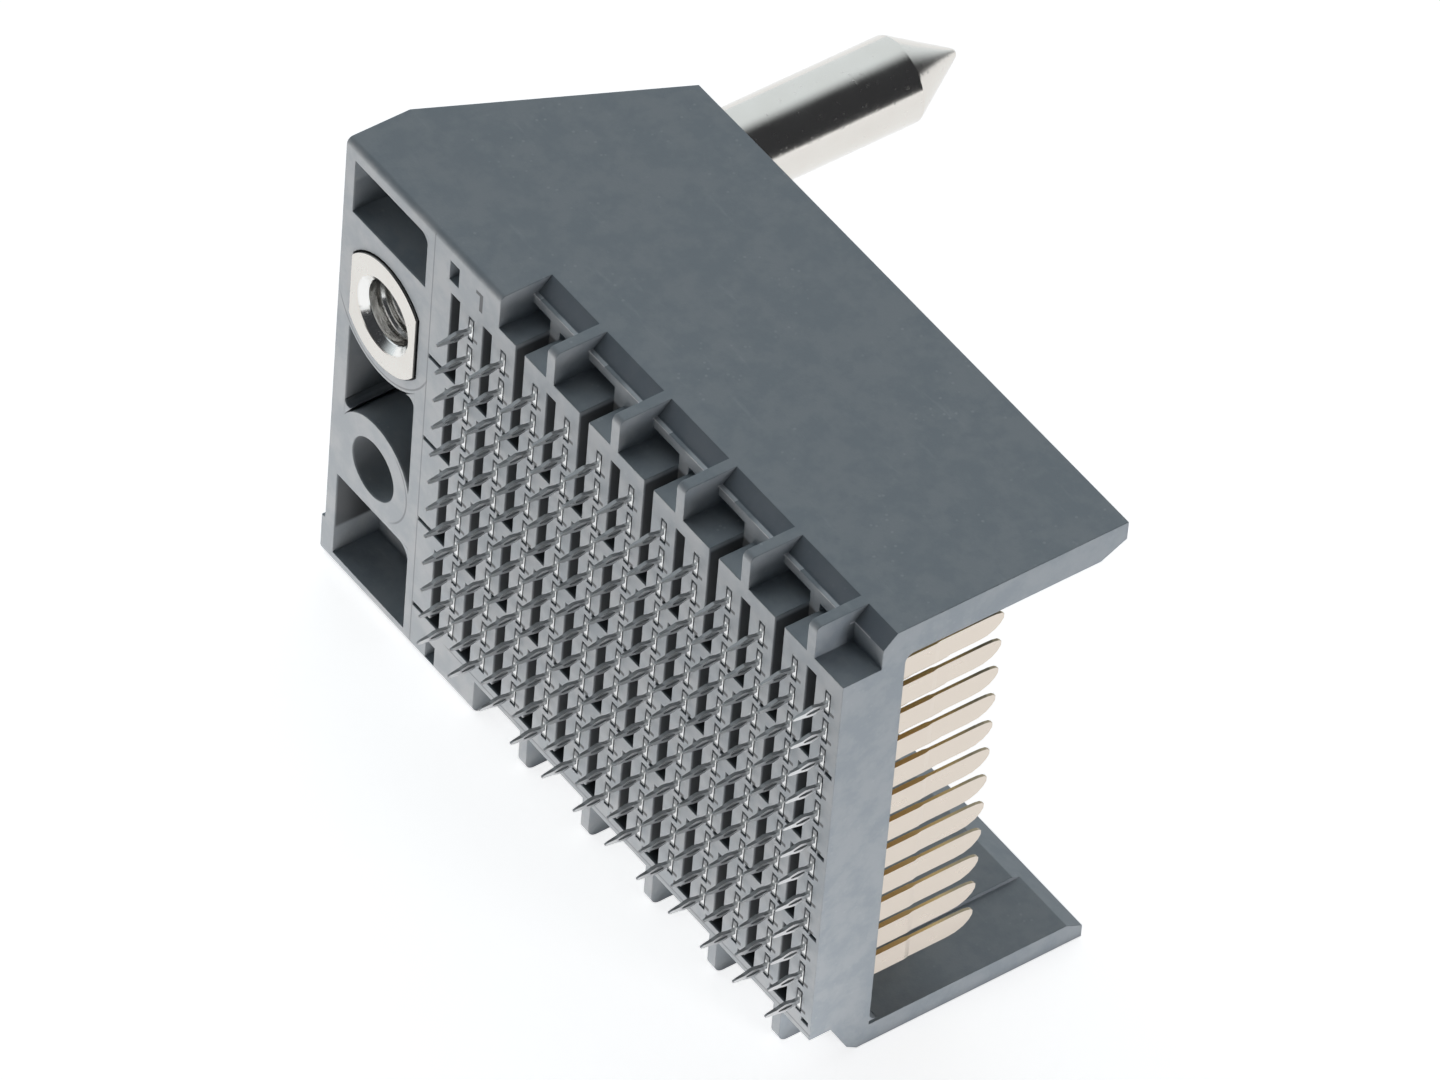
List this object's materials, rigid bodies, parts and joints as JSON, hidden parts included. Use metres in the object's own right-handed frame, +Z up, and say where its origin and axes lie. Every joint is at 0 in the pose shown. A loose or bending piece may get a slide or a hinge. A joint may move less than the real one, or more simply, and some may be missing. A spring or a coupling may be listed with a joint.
{
  "type": "backplane header connector",
  "caption": "Press-fit board header with two long guide walls, flat contact blades, eye-of-needle tails and a turned guide pin.",
  "frame": {"origin": "centre of the bounding box, on the lower long wall that it lies on", "axes": "+X along the columns from the guide block to the open end, +Y the mating direction, +Z up from the lower wall to the upper wall"},
  "size_m": [0.0296, 0.0262, 0.0207],
  "materials": {
    "housing_plastic": "fine moulded matte",
    "contact_metal": "thin gold on the blades, tin on the tails",
    "pin_metal": "bright nickel plate"
  },
  "bodies": {
    "root": {"housing": "housing_plastic", "guide_pin": "pin_metal", "signal_contacts_01": "contact_metal", "signal_contacts_02": "contact_metal", "signal_contacts_03": "contact_metal", "signal_contacts_04": "contact_metal", "signal_contacts_05": "contact_metal", "signal_contacts_06": "contact_metal", "signal_contacts_07": "contact_metal", "signal_contacts_08": "contact_metal", "signal_contacts_09": "contact_metal", "signal_contacts_10": "contact_metal", "signal_contacts_11": "contact_metal", "signal_contacts_12": "contact_metal", "ground_contacts_01": "contact_metal", "ground_contacts_02": "contact_metal", "ground_contacts_03": "contact_metal", "ground_contacts_04": "contact_metal", "ground_contacts_05": "contact_metal", "ground_contacts_06": "contact_metal", "ground_contacts_07": "contact_metal", "ground_contacts_08": "contact_metal", "ground_contacts_09": "contact_metal", "ground_contacts_10": "contact_metal", "ground_contacts_11": "contact_metal", "ground_contacts_12": "contact_metal"}
  },
  "joints": []
}
